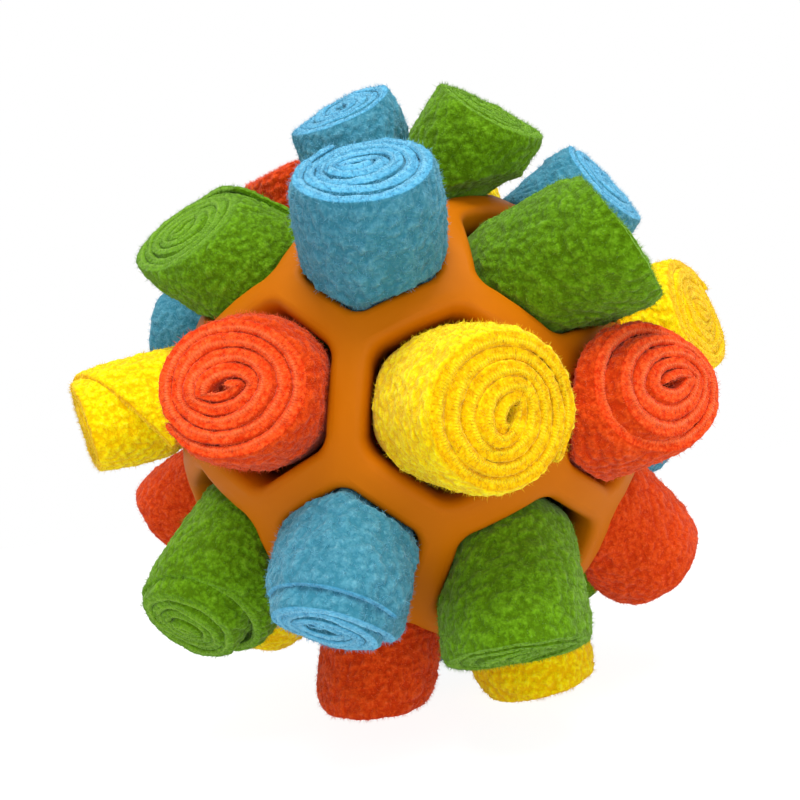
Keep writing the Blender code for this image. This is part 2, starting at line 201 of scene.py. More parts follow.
bm = bmesh.new()
football(bm)
bmesh.ops.scale(bm, vec=(BALL_RADIUS,) * 3, verts=bm.verts)
panes = bm.faces[:]
bmesh.ops.inset_individual(bm, faces=panes, thickness=BAR_WIDTH / 2, use_even_offset=True)
bmesh.ops.delete(bm, geom=panes, context="FACES_ONLY")
spokes = {edge for edge in bm.edges if on_a_corner(edge)}
bmesh.ops.subdivide_edges(bm, edges=[e for e in bm.edges if e not in spokes], cuts=3, use_grid_fill=True)
bmesh.ops.subdivide_edges(bm, edges=[e for e in bm.edges if on_a_corner(e)], cuts=1, use_grid_fill=True)
for vert in bm.verts:
    vert.co = vert.co.normalized() * BALL_RADIUS
print("rims:", len(bm.faces), "faces")

# %% Cage walls
grown = bmesh.ops.extrude_face_region(bm, geom=bm.faces[:])["geom"]
inside = [item for item in grown if isinstance(item, bmesh.types.BMVert)]
bmesh.ops.scale(bm, vec=((BALL_RADIUS - WALL_DEPTH) / BALL_RADIUS,) * 3, verts=inside)
bmesh.ops.recalc_face_normals(bm, faces=bm.faces[:])

# An opening's corners are the edges that run towards the centre where two of its walls meet
corners = [e for e in bm.edges if e.verts[0].co.angle(e.verts[1].co) < math.radians(0.01)
           and e.calc_face_angle(0) > math.radians(30)]
bmesh.ops.bevel(bm, geom=corners, offset=OPENING_CORNER_RADIUS * math.tan(math.radians(30)),
                offset_type="OFFSET", affect="EDGES", segments=6, profile=0.5, material=-1,
                clamp_overlap=False)

# Its lips are the sharp edges round the outside
lips = [e for e in bm.edges if e.calc_face_angle(0) > math.radians(60)
        and all(v.co.length > BALL_RADIUS - LIP_RADIUS for v in e.verts)]
bmesh.ops.bevel(bm, geom=lips, offset=LIP_RADIUS, offset_type="OFFSET", affect="EDGES", segments=5,
                profile=0.5, material=-1, clamp_overlap=False)
bmesh.ops.translate(bm, vec=BALL_CENTRE, verts=bm.verts)
mesh = bpy.data.meshes.new("lattice_ball")
bm.to_mesh(mesh)
bm.free()
mesh.shade_smooth()
cage = new_piece("lattice_ball", mesh, rubber)
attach(cage, "ball")
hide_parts("rubber_lattice_ball")
print("cage faces:", len(mesh.polygons))

# %% [markdown]
# ## Where the rolls sit
# Each opening gets axes of its own: outwards, as near up as it can be, and across. The walls of an opening
# lie in planes through the ball's centre, so how far they stand from the opening's axis grows with height.

# %% Openings
class Opening:
    """One opening of the cage, in the axes of the roll that it holds: +Z out, +Y as near up as it can."""

    def __init__(self, face):
        centre = face.calc_center_median()
        corner = face.verts[0].co
        self.axis = centre.normalized()
        self.sides = len(face.verts)
        self.up = (Vector((0, 0, 1)) - self.axis * self.axis.z).normalized()
        self.right = self.up.cross(self.axis)
        self.corner_angle = math.atan2(corner.dot(self.up), corner.dot(self.right))
        apothem = BALL_RADIUS * math.sin(corner.angle(self.axis)) * math.cos(math.pi / self.sides)
        self.slope = (apothem - BAR_WIDTH / 2) / (BALL_RADIUS * centre.length)
        self.wall_bottom = self.height_at(BALL_RADIUS - WALL_DEPTH)
        self.wall_top = self.height_at(BALL_RADIUS - LIP_RADIUS)

    def height_at(self, radius):
        """How high above the ball's centre its walls cross a sphere of this radius."""
        return radius / math.hypot(1, self.slope)

    def turn(self):
        """Its axes as rows, which turn a place in the opening to one in the ball."""
        return np.array((self.right, self.up, self.axis))


bm = bmesh.new()
football(bm)
openings = [Opening(face) for face in bm.faces]
bm.free()
print("openings:", len(openings), "from", {opening.sides for opening in openings}, "sides")

# %% Directions
def direction(round_deg, up_deg):
    """A unit vector towards a place round from the front and above the level."""
    turn = math.radians(round_deg)
    rise = math.radians(up_deg)
    return Vector((math.sin(turn) * math.cos(rise), -math.cos(turn) * math.cos(rise), math.sin(rise)))


def clock(hour):
    """A direction across the opening by the hour of a clock face seen from outside."""
    angle = math.radians(90 - 30 * hour)
    return np.array((math.cos(angle), math.sin(angle)))


print("straight ahead is", tuple(direction(0, 0)), "and 3 o'clock is", clock(3).round(3))

# %% [markdown]
# ## Pile
# The strips are polyester fleece, knitted and then brushed on both faces until the fibres stand up and
# mat into small pills. The larger pills are shaped in the mesh, which hands their height to the material in
# an attribute. The tufts and flecks between them are too fine for the mesh, so they are patterns here.

# %% Height of the pile
TUFT_MM = 0.85
FLECK_MM = 0.4
TUFT_STRAY = 0.5 * MM
BASE_HEIGHT = 0.05
HEIGHT_BY_TUFT = -0.5
HEIGHT_BY_FLECK = 0.9
HEIGHT_BY_PILL = 0.5


def pile(tree, place):
    """The pile's height, from the pits at 0 to the tips at 1, and its fine flecks."""
    pill = add(tree, "ShaderNodeAttribute", attribute_name="pill").outputs["Fac"]
    fleck = add(tree, "ShaderNodeTexNoise", {"Vector": place, "Scale": 1 / (FLECK_MM * MM),
                                             "Detail": 2.0, "Roughness": 0.6})
    stray = add(tree, "ShaderNodeVectorMath", {0: fleck.outputs["Color"], 1: (TUFT_STRAY,) * 3, 2: place},
                operation="MULTIPLY_ADD")
    tuft = add(tree, "ShaderNodeTexVoronoi", {"Vector": stray.outputs["Vector"],
                                              "Scale": 1 / (TUFT_MM * MM)})
    relief = add(tree, "ShaderNodeMath", {0: tuft.outputs["Distance"], 1: HEIGHT_BY_TUFT, 2: BASE_HEIGHT},
                 operation="MULTIPLY_ADD")
    for part, share in ((fleck.outputs["Fac"], HEIGHT_BY_FLECK), (pill, HEIGHT_BY_PILL)):
        relief = add(tree, "ShaderNodeMath", {0: part, 1: share, 2: relief.outputs["Value"]},
                     operation="MULTIPLY_ADD")
    return relief.outputs["Value"], fleck.outputs["Fac"]


print("tufts every", TUFT_MM, "mm, flecks every", FLECK_MM, "mm")

# %% [markdown]
# ## Looped threads
# Where the cloth is cut, the loops of its knit stand in one row along the edge, like a fine comb. A sine
# along the strip gives their spacing, and the flecks bend it so that no two loops are alike.

# %% Looped threads
LOOP_MM = 0.55
LOOP_BEND = 5.0
LOOPS_OFF_THE_RIDGE = 0.35


def loops(tree, fleck, edge, ridge):
    """From -1 between two loops to 1 on one, and fading to 0 away from the cut edge's ridge."""
    along = add(tree, "ShaderNodeAttribute", attribute_name="along").outputs["Fac"]
    bent = add(tree, "ShaderNodeMath", {0: fleck, 1: LOOP_BEND, 2: along}, operation="MULTIPLY_ADD")
    wave = add(tree, "ShaderNodeMath", {0: bent.outputs["Value"]}, operation="SINE")
    share = add(tree, "ShaderNodeMath", {0: edge, 1: LOOPS_OFF_THE_RIDGE, 2: ridge},
                operation="MULTIPLY_ADD")
    made = add(tree, "ShaderNodeMath", {0: wave.outputs["Value"], 1: share.outputs["Value"]},
               operation="MULTIPLY")
    return made.outputs["Value"]


print("loops every", LOOP_MM, "mm")

# %% [markdown]
# ## Fleece in four dyes
# The eye sees a matt, softly pebbled skin, darker in its pits by painted shade and paler on its tips by
# painted light, a pale bloom at glancing angles, which sheen gives, and stronger colour on the cut edges,
# where no pile hides the threads.

# %% Fleece materials
MOTTLE_MM = 7.0
PILE_DEPTH = 0.35 * MM
PIT_HEIGHT = 0.25
BODY_HEIGHT = 0.65
TIP_HEIGHT = 1.05
CUT_EDGE_FULL = 0.3
# RIDGE_LIT is the share of painted highlight, in the tips' colour, on the cut edge's ridge
RIDGE_LIT = 0.5
LOOP_HEIGHT = 0.3
BLOOM_WHITE = 0.25

# For each dye, the pile's pits in painted shade, its body, and its tips in painted light, then the same of
# the threads on a cut edge
FLEECE_COLOURS = {
    "blue": ("#347A90", "#4D90A6", "#6FABBE", "#4598C0", "#66B7DA", "#8ACDE9"),
    "green": ("#4C7205", "#649612", "#80AE2A", "#4F7A06", "#6A9C18", "#8AB836"),
    "red": ("#C43408", "#DF4B14", "#EC6232", "#D63006", "#F45A22", "#FF7A48"),
    "yellow": ("#F2C200", "#FFEA08", "#FFF448", "#DE9E00", "#FBCE04", "#FFE624"),
}


def fleece(colour):
    """Brushed fleece: tufts with painted shade in their pits and painted light on their tips and on a cut
    edge's ridge.
    """
    made, tree = new_material(colour + "_polar_fleece")
    place = add(tree, "ShaderNodeTexCoord").outputs["Object"]
    edge = add(tree, "ShaderNodeAttribute", attribute_name="cut_edge").outputs["Fac"]
    ridge = add(tree, "ShaderNodeAttribute", attribute_name="ridge").outputs["Fac"]
    relief, fleck = pile(tree, place)
    looped = loops(tree, fleck, edge, ridge)

    # Colour by height, in the pile's colours or the cut edge's: painted shade in the pits and painted light
    # on the tips
    cut = add(tree, "ShaderNodeMapRange", {"Value": edge, "From Min": 0.0, "From Max": CUT_EDGE_FULL})
    codes = [linear(code) for code in FLEECE_COLOURS[colour]]
    pit_painted_shade, body, tip_painted_light = (add(tree, "ShaderNodeMix", {0: cut.outputs["Result"], 6: codes[k], 7: codes[k + 3]},
                          data_type="RGBA").outputs[2] for k in range(3))
    deep = add(tree, "ShaderNodeMapRange", {"Value": relief, "From Min": PIT_HEIGHT,
                                            "From Max": BODY_HEIGHT})
    high = add(tree, "ShaderNodeMapRange", {"Value": relief, "From Min": BODY_HEIGHT,
                                            "From Max": TIP_HEIGHT})
    # Painted highlight: the cut edge's ridge is mixed towards the tips' colour, as if lit
    lit = add(tree, "ShaderNodeMath", {0: ridge, 1: RIDGE_LIT}, operation="MULTIPLY")
    skin = add(tree, "ShaderNodeMix", {0: deep.outputs["Result"], 6: pit_painted_shade, 7: body}, data_type="RGBA")
    for share in (high.outputs["Result"], lit.outputs["Value"]):
        skin = add(tree, "ShaderNodeMix", {0: share, 6: skin.outputs[2], 7: tip_painted_light}, data_type="RGBA")

    # Lighter and darker by the loops and by a slow mottle, as the dye takes unevenly
    mottle = add(tree, "ShaderNodeTexNoise", {"Vector": place, "Scale": 1 / (MOTTLE_MM * MM),
                                              "Detail": 2.0})
    thread = add(tree, "ShaderNodeMapRange", {"Value": looped, "From Min": -1.0, "From Max": 1.0,
                                              "To Min": 0.88, "To Max": 1.06})
    shade = add(tree, "ShaderNodeMapRange", {"Value": mottle.outputs["Fac"], "From Min": 0.3,
                                             "From Max": 0.7, "To Min": 0.94, "To Max": 1.05})
    value = add(tree, "ShaderNodeMath", {0: thread.outputs["Result"], 1: shade.outputs["Result"]},
                operation="MULTIPLY")
    mottled_with_painted_light = add(tree, "ShaderNodeHueSaturation", {"Color": skin.outputs[2], "Value": value.outputs["Value"]})
    height = add(tree, "ShaderNodeMath", {0: looped, 1: LOOP_HEIGHT, 2: relief}, operation="MULTIPLY_ADD")
    bump = add(tree, "ShaderNodeBump", {"Height": height.outputs["Value"], "Strength": 0.7,
                                        "Distance": PILE_DEPTH})
    bloom = [part + (1 - part) * BLOOM_WHITE for part in codes[5]]
    shader = add(tree, "ShaderNodeBsdfPrincipled",
                 {"Base Color": mottled_with_painted_light.outputs["Color"], "Roughness": 1.0, "Specular IOR Level": 0.03,
                  "Sheen Weight": 0.45, "Sheen Roughness": 0.45, "Sheen Tint": bloom,
                  "Normal": bump.outputs["Normal"]})
    add(tree, "ShaderNodeOutputMaterial", {"Surface": shader.outputs["BSDF"]})
    return made


cloth = {colour: fleece(colour) for colour in FLEECE_COLOURS}
print("fleece materials:", ", ".join(cloth))

# %% [markdown]
# ## The strip before it is wound
# A strip is a thin slab with rounded long edges. Its skin starts as a tube whose section has one point for
# each row of the slab, and whose length is the strip's. Only the cut edge and the outermost wrap are seen,
# so these are cut finer than the rest. On a loose roll the wrap below it shows too, so there are two strips.

# %% Section of the strip
SEEN_ROWS = 11
EDGE_STEPS = 6

# A row of the section: up the roll (0 at the bottom, 1 at the top of the walls, 2 at the cut end), and
# across the cloth from its inner face to its outer face
SECTION = [(k / 3, 1.0) for k in range(3)] + [(1 + k / SEEN_ROWS, 1.0) for k in range(SEEN_ROWS)]
SECTION += [(2.0, 1 - k / EDGE_STEPS) for k in range(EDGE_STEPS + 1)]
SECTION += [(up, 0.0) for up in (1.9, 1.6, 0.8, 0.0)] + [(0.0, 0.5)]
ROWS = len(SECTION)
LIP_ROW = 3
EDGE_ROW = LIP_ROW + SEEN_ROWS
print("rows round the strip:", ROWS)

# %% Flat strip
COLUMNS = 260


def rows_at(places):
    """The row of the section that each place on the tube falls on, with fractions."""
    return np.arctan2(places[:, 1], places[:, 0]) / (2 * math.pi) * ROWS


def seen_faces(bm, first_seen):
    """The faces on the cut edge, and those of the outer wraps above the walls, from a share of the length."""
    centres = np.array([face.calc_center_bounds() for face in bm.faces])
    rows = rows_at(centres) % ROWS
    on_edge = (rows > EDGE_ROW) & (rows < EDGE_ROW + EDGE_STEPS)
    outer = (rows > LIP_ROW) & (rows < EDGE_ROW) & (centres[:, 2] + 0.5 > first_seen)
    return on_edge, outer


def flat_strip(first_seen):
    """The slab's skin as a tube, cut finer on the edge and beyond a share of its length."""
    bm = bmesh.new()
    bmesh.ops.create_cone(bm, cap_ends=True, cap_tris=False, segments=ROWS, radius1=1, radius2=1, depth=1)
    first = bm.verts[:][0].co
    turn = Matrix.Rotation(-math.atan2(first.y, first.x), 4, "Z")
    bmesh.ops.transform(bm, matrix=turn, verts=bm.verts)
    along = [edge for edge in bm.edges if abs(edge.verts[0].co.z - edge.verts[1].co.z) > 0.5]
    bmesh.ops.subdivide_edges(bm, edges=along, cuts=COLUMNS - 1)

    # The outermost wrap is cut between its rows first, which leaves its faces square
    outer = [face for face, seen in zip(list(bm.faces), seen_faces(bm, first_seen)[1]) if seen]
    level = {edge for face in outer for edge in face.edges
             if abs(edge.verts[0].co.z - edge.verts[1].co.z) < 1e-6}
    bmesh.ops.subdivide_edges(bm, edges=list(level), cuts=1, use_grid_fill=True)
    on_edge, outer = seen_faces(bm, first_seen)
    seen = [face for face, one, two in zip(list(bm.faces), on_edge, outer) if one or two]
    edges = {edge for face in seen for edge in face.edges}
    bmesh.ops.subdivide_edges(bm, edges=list(edges), cuts=1, use_grid_fill=True)
    mesh = bpy.data.meshes.new("strip")
    bm.to_mesh(mesh)
    bm.free()
    return mesh


def points_of(mesh, what="co"):
    """A mesh's points, or its normals there, as an array."""
    values = np.empty(len(mesh.vertices) * 3)
    if what == "co":
        mesh.vertices.foreach_get("co", values)
    else:
        mesh.vertex_normals.foreach_get("vector", values)
    return values.reshape(-1, 3)


print("columns along the strip:", COLUMNS)

# %% [markdown]
# ## Loose fibres
# Brushing leaves fibres that stand out of the pile and blur every outline. Each is a three-sided cone, and
# doubling one over and over makes thousands in a dozen steps. They are stacked one above the other, so that
# a fibre's number and the place on it can be read from the height of each of its points.

# %% Loose fibres
FIBRE_DOUBLINGS = 12
FIBRES = 2 ** FIBRE_DOUBLINGS
FIBRE_STEP = 3
bm = bmesh.new()
bmesh.ops.create_cone(bm, cap_ends=True, cap_tris=False, segments=3, radius1=1, radius2=0, depth=1,
                      matrix=Matrix.Translation((0, 0, 0.5)))
for doubling in range(FIBRE_DOUBLINGS):
    grown = bmesh.ops.duplicate(bm, geom=bm.verts[:] + bm.edges[:] + bm.faces[:])["geom"]
    moved = [item for item in grown if isinstance(item, bmesh.types.BMVert)]
    bmesh.ops.translate(bm, vec=(0, 0, FIBRE_STEP * 2 ** doubling), verts=moved)
fibres = bpy.data.meshes.new("fibres")
bm.to_mesh(fibres)
bm.free()
fibre_points = points_of(fibres)
FIBRE = (fibre_points[:, 2] // FIBRE_STEP).astype(int)
FIBRE_LOCAL = fibre_points - np.outer(FIBRE * FIBRE_STEP, (0, 0, 1))
print("fibres on a roll:", FIBRES)

# %% [markdown]
# ## Two strips
# For each point of a strip it is worked out once where it lies on the slab, whether it is seen, and how far
# it stands out on the cut edge: a soft band of pile with one thin ridge on it, the looped threads.

# %% Two strips
OUTER_WRAP = 0.60
LOOSE_WRAPS = 0.28
BAND_SHARE = 0.6
BAND_FLATNESS = 0.35
RIDGE_PLACE = 0.34
RIDGE_WIDTH = 0.13
END_COLUMNS = 4.5
END_CROWDING = 1.6
chance = np.random.default_rng(7)


class Strip:
    """A flat strip and, for each of its points, where that lies on the slab."""

    def __init__(self, first_seen):
        bm = bmesh.new()
        bm.from_mesh(flat_strip(first_seen))
        self.mesh = bpy.data.meshes.new("strip_with_fibres")
        bm.to_mesh(self.mesh)
        points = points_of(self.mesh)
        row = np.round(rows_at(points) * 4) / 4 % ROWS
        below = row.astype(int)
        part = (row - below)[:, None]
        places = np.array(SECTION)
        self.up, self.across = (places[below] + (places[(below + 1) % ROWS] - places[below]) * part).T

        self.on_edge = self.up > 1.999
        band = np.sin(math.pi * self.across) ** BAND_FLATNESS * BAND_SHARE
        ridge = np.exp(-((self.across - RIDGE_PLACE) / RIDGE_WIDTH) ** 2) * (1 - BAND_SHARE)
        self.edge = np.where(self.on_edge, band + ridge, 0)
        self.ridge = np.where(self.on_edge, ridge / (1 - BAND_SHARE), 0)

        # The columns crowd towards both short ends, which are rounded off
        share = points[:, 2] + 0.5
        crowd = END_COLUMNS / COLUMNS
        near = np.minimum(share, 1 - share)
        drawn = np.where(near < crowd, (near / crowd) ** END_CROWDING * crowd, near)
        self.share = np.where(share < 0.5, drawn, 1 - drawn)

        # Seen are the cut edge, and the outer face of the outermost wraps from the lip up
        outside = (self.up > 0.95) & (self.across > 0.99) & (self.share > first_seen)
        self.seen = self.on_edge | outside
        self.roots = chance.choice(np.flatnonzero(self.seen), FIBRES)

        # The fibres come after the strip's own points
        bm.from_mesh(fibres)
        bm.to_mesh(self.mesh)
        bm.free()
        self.mesh.shade_smooth()
        print("strip: vertices", len(self.up), "of which seen", int(self.seen.sum()))


tight_strip = Strip(OUTER_WRAP)
loose_strip = Strip(LOOSE_WRAPS)

# %% [markdown]
# ## The spiral
# A strip wound on itself is a spiral whose turns lie one thickness of cloth apart, so a roll's radius says
# how much cloth is in it. The angle of a point is found from the length of cloth beyond it, and so every
# part of the strip keeps its length. Both short ends are rounded, and the free one thins out.

# %% Spiral
FLEECE_PITCH = 2.5 * MM
LAYER_GAP = 0.03 * MM
CLOTH = FLEECE_PITCH - LAYER_GAP
CORE_RADIUS = 1.55 * MM
ROUND_END = 1.3 * MM
LEAST_THICKNESS = 0.06
FREE_END_LENGTH = 12 * MM
FREE_END_THINNED = 0.3


def smooth(value):
    """From 0 to 1 with a soft start and a soft end."""
    value = np.clip(value, 0, 1)
    return value * value * (3 - 2 * value)


def last_middle(radius):
    """How far the middle of the cloth is from the spiral's centre where the outermost wrap ends."""
    return radius + FLEECE_PITCH * 3 / 8 - CLOTH / 2


def cut_length(radius):
    """The cloth in a roll of this radius, along the middle of its thickness."""
    turns = (radius - CORE_RADIUS) / FLEECE_PITCH
    return 2 * math.pi * (last_middle(radius) * turns - FLEECE_PITCH * turns ** 2 / 2)


def spiral(strip, roll, length):
    """Each point's place on the spiral, and from 0 to 1 how full the rounded short ends are there."""
    outermost = last_middle(roll["radius"] * MM)
    left = (1 - strip.share) * length
    left_turns = (outermost - np.sqrt(outermost ** 2 - FLEECE_PITCH * left / math.pi)) / FLEECE_PITCH
    from_end = np.minimum(left, length - left)
    full = np.sqrt(1 - (1 - np.clip(from_end / ROUND_END, 0, 1)) ** 2)
    thin = 1 - FREE_END_THINNED * smooth(1 - left / FREE_END_LENGTH)
    depth = 0.5 + (strip.across - 0.5) * np.maximum(full, LEAST_THICKNESS)
    far = outermost - CLOTH / 2 - FLEECE_PITCH * left_turns + CLOTH * thin * depth
    end = clock(roll["end"])
    before_end = np.array((-end[1], end[0]))
    angle = math.atan2(end[1], end[0]) + 2 * math.pi * left_turns
    flat = np.stack((np.cos(angle), np.sin(angle)), 1) * far[:, None]
    return flat - (end + before_end) * FLEECE_PITCH / 4, full


print("cloth in a roll 13 mm in radius:", round(cut_length(13 * MM) / MM), "mm")

# %% [markdown]
# ## Wound by hand
# No hand winds a perfect spiral: the start is folded into a flat slit, off the middle, and the turns are a
# little oval. The whole plane is warped, cloth and gaps alike, so layers never cross.

# %% Wound by hand
SLIT_MM = 0.8
CORE_STRAY_MM = 0.8
CORE_PRESS = 1.25 * MM
CORE_SHARPNESS = 2.5
OVAL = 0.012
TRIANGULAR = 0.008


def hand(seed, count):
    """A few fixed numbers from 0 to 1, different for each roll, so that no two are quite alike."""
    return [(seed * 0.6180339887 + k * 0.7548776662) % 1 for k in range(1, count + 1)]


def polar(flat):
    """Each point's distance from the middle, and the way to it."""
    size = np.linalg.norm(flat, axis=1)
    return size, flat / np.maximum(size, 1e-9)[:, None]


def warped(flat, roll, odds):
    """The spiral with a slit for a core, set off the middle, and turns that aren't quite round."""
    size, way = polar(flat)
    turned = np.arctan2(flat[:, 1], flat[:, 0])
    inwards = (1 - smooth(size / (roll["radius"] * MM)))[:, None]
    slit = clock(roll.get("slit", 12 * odds[0]))
    beside = np.array((-slit[1], slit[0]))
    stretch = roll.get("slit_mm", SLIT_MM) * MM * np.tanh(CORE_SHARPNESS * (way @ slit))
    pressed = CORE_PRESS * np.tanh(CORE_SHARPNESS * (way @ beside)) * (1 - np.exp(-size / MM))
    stray = (CORE_STRAY_MM * (2 * odds[3] - 1), CORE_STRAY_MM * (2 * odds[4] - 1))
    core = np.array(roll.get("core", stray)) * MM
    wobble = 1 + OVAL * np.cos(2 * turned + 6 * odds[1]) + TRIANGULAR * np.cos(3 * turned + 6 * odds[2])
    return flat * wobble[:, None] + (np.outer(stretch, slit) - np.outer(pressed, beside) + core) * inwards


print("the first roll's numbers:", [round(value, 3) for value in hand(0, 6)])

# %% [markdown]
# ## Squeezed by the walls
# Inside the ball a roll takes the shape of its opening: six-sided or five-sided with rounded corners, or
# about half of that where two rolls share one. Above the lip it swells out again to a round roll.

# %% Squeeze
SEAT_CLEARANCE = 0.35 * MM
PAIR_CLEARANCE = 0.4 * MM
LIP_FREEDOM = 3 * MM
SQUEEZE = 24


def squeezed(opening, way, height, middle, free_radius, parting):
    """How far the cloth reaches from the roll's middle along each way: its own radius, or less where a wall
    of the opening, or the roll beside it, is in the way. The power is what rounds the corners. Above the
    walls their hold is soon gone."""
    total = free_radius ** -SQUEEZE
    freed = np.maximum(height - opening.wall_top, 0) ** 2 / LIP_FREEDOM
    held = opening.slope * np.minimum(height, opening.wall_top) - SEAT_CLEARANCE
    for k in range(opening.sides):
        angle = opening.corner_angle + 2 * math.pi / opening.sides * (k + 0.5)
        across = np.array((math.cos(angle), math.sin(angle)))
        room = held - middle @ across + freed
        total = total + (np.maximum(way @ across, 0) / np.maximum(room, MM)) ** SQUEEZE
    if parting is not None:
        room = middle @ parting - PAIR_CLEARANCE / 2
        total = total + (np.maximum(way @ -parting, 0) / np.maximum(room, MM)) ** SQUEEZE
    return total ** (-1 / SQUEEZE)


print("clear of the walls by", SEAT_CLEARANCE / MM, "mm")

# %% [markdown]
# ## Winding a strip
# Every point of the flat strip is given its place on the roll: across it from the spiral, and up it from its
# row. Above the lip the roll swells, has a slight belly, and tapers at its rim. The cut end is turned its
# own way and telescoped towards the core, and the roll leans from its waist between the walls. The lean and
# the turn are the CAD's, worked out finer, and the inner end reaches somewhat deeper into the ball than the
# CAD's, so that no light shows beside it.

# %% Winding
INNER_STICK = 3 * MM
EDGE_RISE = 0.45 * MM
PILE = 0.2 * MM
BELLY = 0.05
LIP_SWELL = 0.07
LIP_SWELL_HEIGHT = 5 * MM
END_TAPER = 0.07
END_TAPER_POWER = 9
RIPPLE = 0.3 * MM
RIPPLE_LENGTHS = (9 * MM, 5.3 * MM)
BACK_FROM = 0.7
BACK_OVER = 0.12
PAIR_SEAT = 0.44


def cut_end(strip, roll, slant, length, odds):
    """How high the cut end is at each point, less what its band and looped threads add."""
    ripple = RIPPLE * sum(np.sin(strip.share * length / wave + 6 * odd)
                          for wave, odd in zip(RIPPLE_LENGTHS, (odds[5], odds[0])))
    top = BALL_RADIUS + roll["off"] * MM - EDGE_RISE + roll["out"] * MM * (1 - strip.share) - slant
    set_back = (strip.share - roll.get("back_from", BACK_FROM)) / roll.get("back_over", BACK_OVER)
    top = top - roll.get("back", 0) * MM * smooth(set_back)
    return top + ripple * np.clip(strip.up - 1, 0, 1)


def wind(strip, opening, roll, seed, parting=None):
    """Each point of the strip in the opening's axes, and how long the strip is."""
    radius = roll["radius"] * MM
    length = cut_length(radius)
    odds = hand(seed, 6)
    flat, full = spiral(strip, roll, length)
    flat = warped(flat, roll, odds)

    # How it leans, and how steeply its end is cut across
    lip = opening.wall_top
    high = BALL_RADIUS + roll["off"] * MM
    lean = clock(roll["hour"]) * roll["lean"] * MM
    waist = lip if parting is not None else (opening.wall_bottom + lip) / 2
    root = parting * opening.slope * lip * PAIR_SEAT if parting is not None else np.zeros(2)
    tilt = math.radians(roll["tilt"])
    tilt_way = clock(roll["tilt_hour"])
    leant = math.atan2((lean - root) @ tilt_way, high - waist)
    squash = math.cos(tilt) / math.cos(tilt - leant)

    # Heights, from the bottom of the walls to the lip and from there to the cut end
    low = opening.wall_bottom - INNER_STICK
    top = cut_end(strip, roll, flat @ tilt_way * squash * math.tan(tilt), length, odds)
    height = np.where(strip.up <= 1, low + (lip - low) * strip.up, lip + (top - lip) * (strip.up - 1))
    height = height + EDGE_RISE * strip.edge * np.sqrt(full)
    risen = np.clip((height - lip) / (top - lip), 0, 1)
    if parting is None:
        way_out = (height - waist) / np.where(height > waist, top - waist, high - waist)
        middle = np.outer(way_out, lean)
    else:
        below_lip = np.outer(opening.slope * np.minimum(height, lip) * PAIR_SEAT, parting)
        middle = below_lip + np.outer(risen, lean - root)

    # The section there: round where it is free, and squeezed by the walls
    swell = LIP_SWELL * np.exp(-((height - lip) / LIP_SWELL_HEIGHT) ** 2)
    fullness = 1 + BELLY * np.sin(math.pi * risen) + swell - END_TAPER * risen ** END_TAPER_POWER
    size, way = polar(flat)
    reach = squeezed(opening, way, height, middle, (radius + PILE) * fullness, parting)
    placed = way * (size * reach / radius)[:, None]
    placed = placed + tilt_way * ((placed @ tilt_way) * (squash - 1) * risen)[:, None]
    return np.column_stack((placed + middle, height)), length


print("rolls reach", INNER_STICK / MM, "mm into the ball past the walls")

# %% [markdown]
# ## The rolls
# Each row of the table is one roll: its colour, where its opening looks, its radius and how far it stands
# out from the ball in millimetres, how far and which way it leans, how steeply its cut end is turned and
# which way, how far its core stands out past its outer wrap, and the hour where that wrap ends. Two share
# the top opening. What shows was matched to the photograph; the rolls on the back can't be seen in it, so
# theirs are guesses.

# %% Roll table
PAIR_OPENING = (16, 66)
PAIR_HOUR = 4.3
NAMES = ("colour", "round", "rise", "radius", "off", "lean", "hour", "tilt", "tilt_hour", "out", "end")
SEEN_ROLLS = (
    ("blue", -5, 31, 13.2, 16.4, 2.6, 1.4, 12, 0.6, 0.6, 11.0),
    ("red", -32, 4, 13.2, 11.0, 5.5, 3.4, 33, 2.8, 0.8, 8.0),
    ("yellow", 9, -4, 13.8, 14.6, 5.2, 4.0, 14, 3.4, 1.0, 4.4),
    ("green", 38, 27, 13.9, 13.9, 8.8, 5.4, 28, 2.9, 0.8, 2.0),
    ("red", 46, -10, 13.3, 12.6, 7.1, 11.1, 25, 9.8, 1.6, 4.0),
    ("blue", -19, -31, 13.2, 15.2, 3.2, 5.6, 28, 6.6, 3.4, 3.0),
    ("green", 26, -43, 13.9, 13.6, 9.2, 8.4, 28, 6.5, 1.2, 5.0),
    ("green", -50, 43, 14.2, 11.9, 7.4, 8.7, 14, 3.5, 0.8, 1.0),
    ("blue", 78, 47, 12.6, 16.4, 5.6, 6.2, 27, 7.8, 0.8, 12.0),
    ("yellow", 78, 9, 13.7, 15.5, 3.1, 11.5, 27, 9.0, 1.0, 2.0),
    ("yellow", -70, 10, 12.2, 18.3, 9.2, 5.5, 21, 5.4, 0.6, 4.4),
    ("red", 78, -33, 13.5, 10.7, 10.9, 4.3, 33, 4.0, 0.8, 1.0),
    ("red", -40, -66, 12.5, 10.6, 1.2, 5.6, 22, 6.8, 0.0, 8.0),
    ("yellow", 78, -70, 13.0, 14.1, 1.6, 5.4, 12, 5.2, 0.0, 2.0),
    ("green", -62, -27, 13.7, 15.0, 8.2, 5.4, 28, 4.1, 3.2, 10.0),
    ("red", -102, -9, 12.1, 16.1, 5.8, 6.6, 18, 6.7, 0.8, 5.0),
    ("blue", -102, 33, 12.6, 15.8, 6.1, 6.5, 18, 5.8, 0.8, 11.0),
    ("red", -102, 70, 12.2, 14.6, 6.4, 2.7, 23, 2.5, 0.6, 7.0),
    ("yellow", -102, -47, 12.4, 12.0, 6.5, 12.0, 10, 9.0, 0.8, 1.0),
    ("green", 130, -43, 13.7, 14.0, 3.0, 8.0, 10, 7.0, 0.8, 10.0),
)
PAIR_ROLLS = (
    ("green", 16, 66, 13.1, 14, 18.7, 4.3, 28, 4.4, 0.8, 1.0),
    ("blue", 16, 66, 12.6, 15.2, 15.4, 9.9, 27, 8.4, 1.2, 1.0),
)
